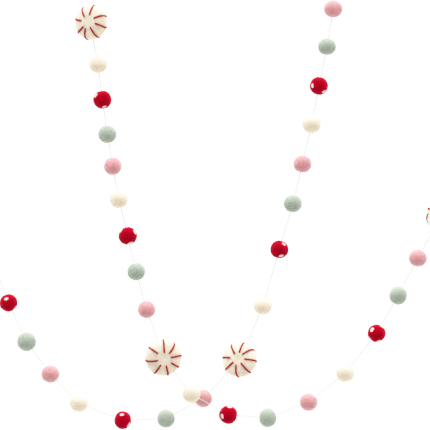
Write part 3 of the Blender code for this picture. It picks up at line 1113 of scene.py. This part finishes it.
def strand(name, lines, trees, yarn, **values):
    """Plied yarn or string along one or more lines."""
    guide = line_object(f"{name}_route", lines)
    piece = grown(name, guide, trees["strand"], outline=STRAND_PROFILE, fibre_kind=yarn, **values)
    drop(guide)
    return piece


def grain_of(swag, number, step, back_shift):
    """A number that gives every bead its own lumps."""
    return number * step + (back_shift if swag == "back" else 0.0)


def drop(*guides):
    for guide in guides:
        bpy.data.objects.remove(guide)


def skin_normal(row, face, v):
    """Which way a sweet's smooth skin faces."""
    side = v.orthogonal().normalized() * 0.01
    other = v.cross(side)
    here = sweet_skin(row, face, v)
    first = sweet_skin(row, face, (v + side).normalized()) - here
    second = sweet_skin(row, face, (v + other).normalized()) - here
    out = first.cross(second).normalized()
    return out if out.dot(v) > 0 else -out


def reach_of(row, face, right, up, turn, tilt):
    v = face * math.cos(tilt) + (right * math.cos(turn) + up * math.sin(turn)) * math.sin(tilt)
    point = sweet_skin(row, face, v)
    return v, (point - face * point.dot(face)).length


def stitch_line(row, face, stitch, right, up):
    """One stitch on the smooth skin: from near the front's middle, out over the rim and back in behind."""
    tilts = [math.pi * n / STITCH_SEARCH for n in range(STITCH_SEARCH + 1)]
    start = next(t for t in tilts if reach_of(row, face, right, up, 0.0, t)[1] >= stitch.start * MM)
    line = []
    for n in range(STITCH_POINTS + 1):
        share = n / STITCH_POINTS
        tilt = start + (math.pi - 2 * start) * share
        swing = min(1.0, 2 * min(share, 1 - share))
        turn = math.radians(stitch.inner_turn + (stitch.rim_turn - stitch.inner_turn) * swing)
        line.append((reach_of(row, face, right, up, turn, tilt)[0], share))
    return line


def sweet(swag, number, row, trees, felts, yarn):
    """A peppermint: its felt, and the yarn of its star."""
    name = node_name(swag, number)
    facing = SWEET_FACES[swag, number]
    face = way_of(facing)
    right, up = face_axes(face)
    plump = facing.plump * MM
    middle = place(row)
    grooves = []
    threads = []
    for stitch in STARS[swag, number]:
        line = stitch_line(row, face, stitch, right, up)
        skin = [middle + sweet_skin(row, face, v) for v, share in line]
        normals = [skin_normal(row, face, v) for v, share in line]
        grooves.append(skin)
        drop_in = STITCH_GROOVE - STITCH_LIFT - plump
        tucks = [STITCH_RIM_TUCK * math.sin(math.pi * share) ** 3 for v, share in line]
        thread = [point - out * (drop_in + tuck) for point, out, tuck in zip(skin, normals, tucks)]
        first, last = thread[0], thread[-1]
        inward = (thread[0] - thread[1]).normalized()
        backward = (thread[-1] - thread[-2]).normalized()
        thread.insert(0, first + inward * STITCH_ACROSS * 0.5 - normals[0] * STITCH_DIVE)
        thread.append(last + backward * STITCH_ACROSS * 0.5 - normals[-1] * STITCH_DIVE)
        threads.append(rounded(thread, STITCH_CORNER))
    carrier = line_object(f"{name}_start", [[middle, middle]])
    groove_guide = line_object(f"{name}_grooves", grooves)
    body = grown(
        f"{name}_felt",
        carrier,
        trees["sweet"],
        middle=middle,
        half_sizes=half_sizes(row),
        face=face,
        face_right=right,
        face_up=up,
        plump=plump,
        tan=facing.tan,
        grain=grain_of(swag, number, *SWEET_GRAIN),
        stitches=groove_guide,
        seed=number,
        felt=felts["peppermint"],
    )
    star = strand(f"{name}_star", threads, trees, yarn, seed=number, **YARN_MAKE)
    drop(carrier, groove_guide)
    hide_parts(name)
    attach(body, "root")
    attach(star, "root")


def dot_line(row, dot):
    """The middle line of an oval dot, in ways from the ball's middle, lying along the outline seen in front.

    It floats outside the felt, so that a dot of its width is what lies within reach of it.
    """
    radius = row.wide * MM / 2
    middle = way_of(dot) * (1 + math.sqrt(DOT_REACH**2 - (dot.half * MM) ** 2) / radius)
    along = middle.cross(Vector((0, 1, 0))).normalized() * (DOT_STRETCH / radius)
    return [middle - along, middle + along]


def ball(swag, number, row, route, trees, felts):
    """A felt ball, with its dots if it is a red one."""
    name = node_name(swag, number)
    kind = felt_of(swag, number)
    middle = place(row)
    along = route.index(middle)
    carrier = line_object(f"{name}_start", [[middle]])
    dots = line_object(f"{name}_dots", [dot_line(row, dot) for dot in DOTS.get((swag, number), ())])
    body = grown(
        f"{name}_felt",
        carrier,
        trees["ball"],
        middle=middle,
        half_sizes=half_sizes(row),
        way_in=(route[along - 1] - middle).normalized(),
        way_out=(route[along + 1] - middle).normalized(),
        grain=grain_of(swag, number, *BALL_GRAIN),
        dots=dots,
        seed=number + (BACK_SEEDS_FROM if swag == "back" else 0),
        felt=felts[kind],
    )
    drop(carrier, dots)
    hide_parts(name)
    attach(body, "root")


def string(swag, rows, route, trees, cotton):
    """A swag's string with its end loops and tails."""
    path = rounded(route, CORNER_ROUND)
    piece = strand(f"{swag}_twisted_string", [path], trees, cotton, seed=len(rows), **STRING_MAKE)
    knots = [wound_knot(swag, end, trees, cotton) for end in ("start", "end")]
    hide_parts(f"{swag}_string")
    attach(piece, "root")


def wound_knot(swag, end, trees, cotton):
    """Turns of the string wound tight round the two strands of a hanging loop."""
    middle, pull, across, back = knot_frame(KNOTS[swag, end])
    count = int(KNOT_WRAPS * KNOT_WRAP_TURN_POINTS)
    wraps = []
    for n in range(count + 1):
        turn = math.tau * KNOT_WRAPS * n / count
        rise = KNOT_WRAP_RISE * KNOT_WRAPS * (n / count - 0.5)
        tuck = 1 - KNOT_END_TUCK * max(0.0, 1 - min(n, count - n) / KNOT_END_POINTS)
        wide = across * (KNOT_WRAP_WIDE * tuck * math.cos(turn))
        deep = back * (KNOT_WRAP_DEEP * tuck * math.sin(turn))
        wraps.append(middle + pull * rise + wide + deep)
    piece = strand(f"{swag}_{end}_wound_knot", [wraps], trees, cotton, seed=KNOT_SEED, **STRING_MAKE)
    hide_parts(f"{swag}_{end}_knot")
    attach(piece, "root")
    return piece


def main():
    camera()
    tent()
    floor()
    film()
    felts = {
        "peppermint": felt("sweet_cream_felt", *SWEET_WOOL, 0.25, glow=0.8, painted_crease_and_middle_shade=True),
        "cream": felt("cream_wool_felt", *CREAM_WOOL, 0.25, relief=0.2),
        "red": felt("dotted_red_wool_felt", *RED_WOOL, 1.0, dots=DOT_WOOL),
        "mint": felt("mint_wool_felt", *MINT_WOOL, 0.35),
        "pink": felt("pink_wool_felt", *PINK_WOOL, 1.0),
    }
    yarn = spun("red_wool_yarn", *RED_YARN)
    cotton = spun("white_cotton_string", *WHITE_COTTON)
    fibres = fibre_tree()
    trees = {"ball": felt_ball_tree(fibres), "sweet": sweet_tree(fibres), "strand": strand_tree(fibres)}
    for swag, rows in SWAGS.items():
        route = string_route(swag, rows)
        string(swag, rows, route, trees, cotton)
        for number, row in enumerate(rows, 1):
            if is_sweet(swag, number):
                sweet(swag, number, row, trees, felts, yarn)
            else:
                ball(swag, number, row, route, trees, felts)


main()
